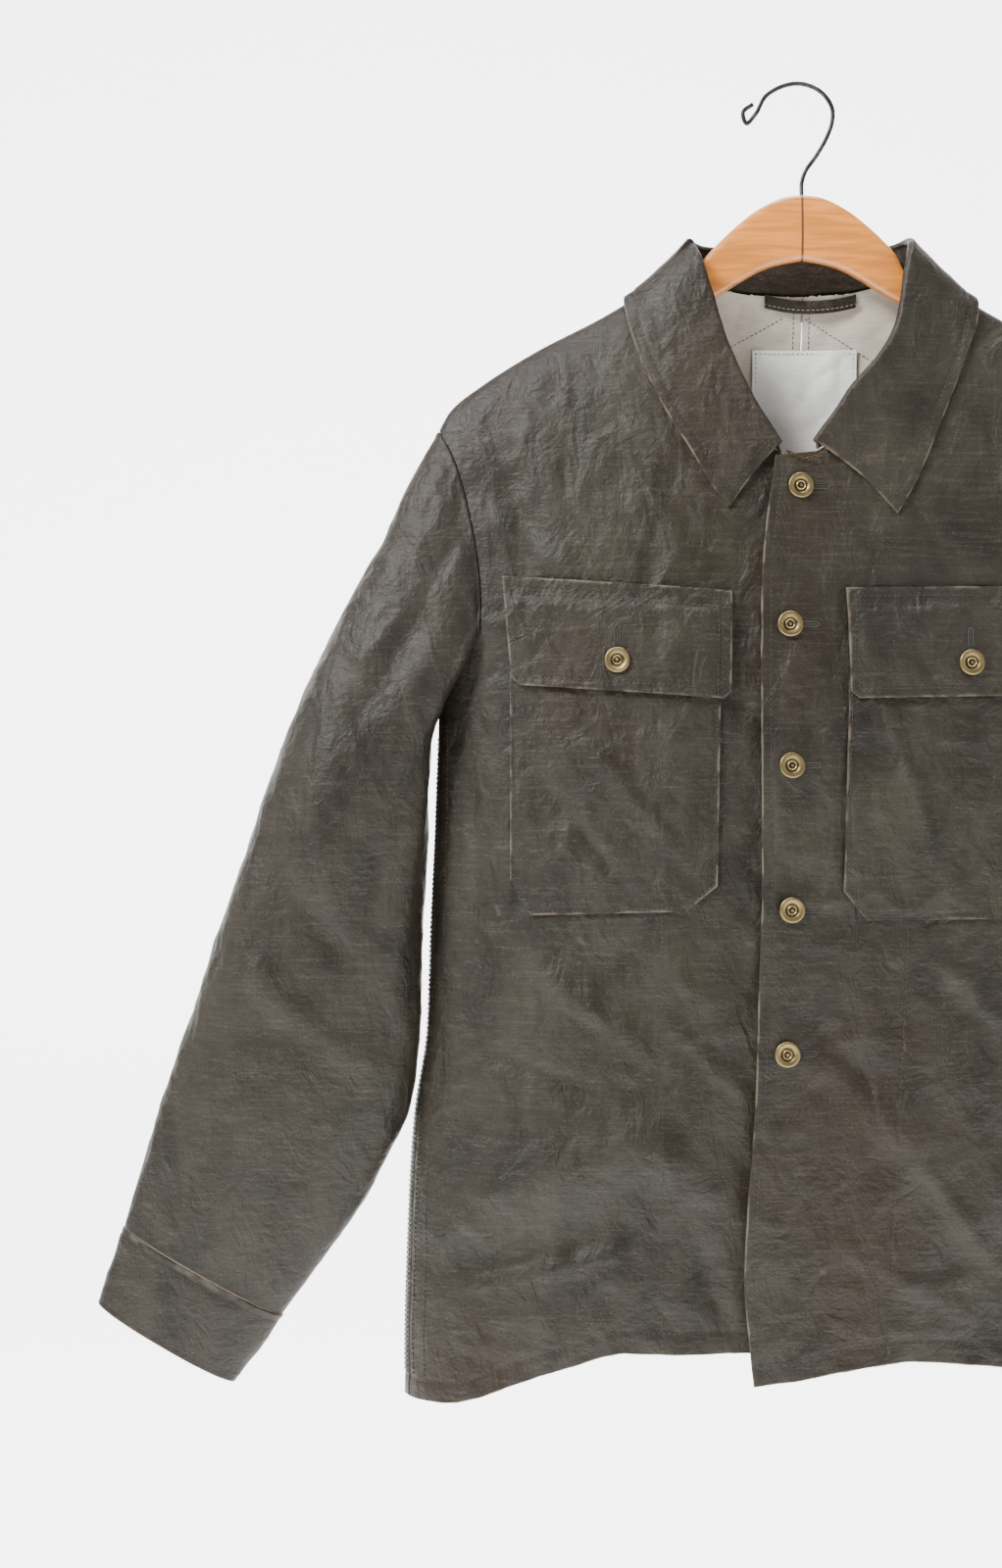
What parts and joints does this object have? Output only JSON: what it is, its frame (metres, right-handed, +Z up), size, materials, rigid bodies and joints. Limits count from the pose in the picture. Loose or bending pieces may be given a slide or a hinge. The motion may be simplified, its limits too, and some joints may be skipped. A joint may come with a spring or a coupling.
{
  "type": "military jacket on a wooden hanger",
  "caption": "Waxed canvas field jacket, pointed collar, flapped chest pockets and straight cuffs, buttoned at the neck and hung on a wooden hanger.",
  "frame": {"origin": "highest point inside the hanger's hook, where the nail or rail that carries it lies", "axes": "+Z up, the jacket's front faces -Y, and the wearer's left side is at +X"},
  "size_m": [0.964, 0.1154, 0.906],
  "materials": {
    "canvas": "worn waxed cotton canvas",
    "label": "bare woven cotton",
    "brass": "antique brass",
    "wood": "varnished",
    "steel": "darkened wire"
  },
  "bodies": {
    "root": {"front_right": "canvas", "front_left": "canvas", "back_right": "canvas", "back_left": "canvas", "sleeve_right": "canvas", "sleeve_left": "canvas", "cuff_right": "canvas", "cuff_left": "canvas", "collar": "canvas", "pocket_right": "canvas", "pocket_left": "canvas", "pocket_flap_right": "canvas", "pocket_flap_left": "canvas", "button_front_1": "brass", "button_front_2": "brass", "button_front_3": "brass", "button_front_4": "brass", "button_front_5": "brass", "button_pocket_right": "brass", "button_pocket_left": "brass", "hanging_loop": "canvas", "label": "label", "collar_chain": "brass", "hanger_bar": "wood", "hanger_hook": "steel"}
  },
  "joints": []
}
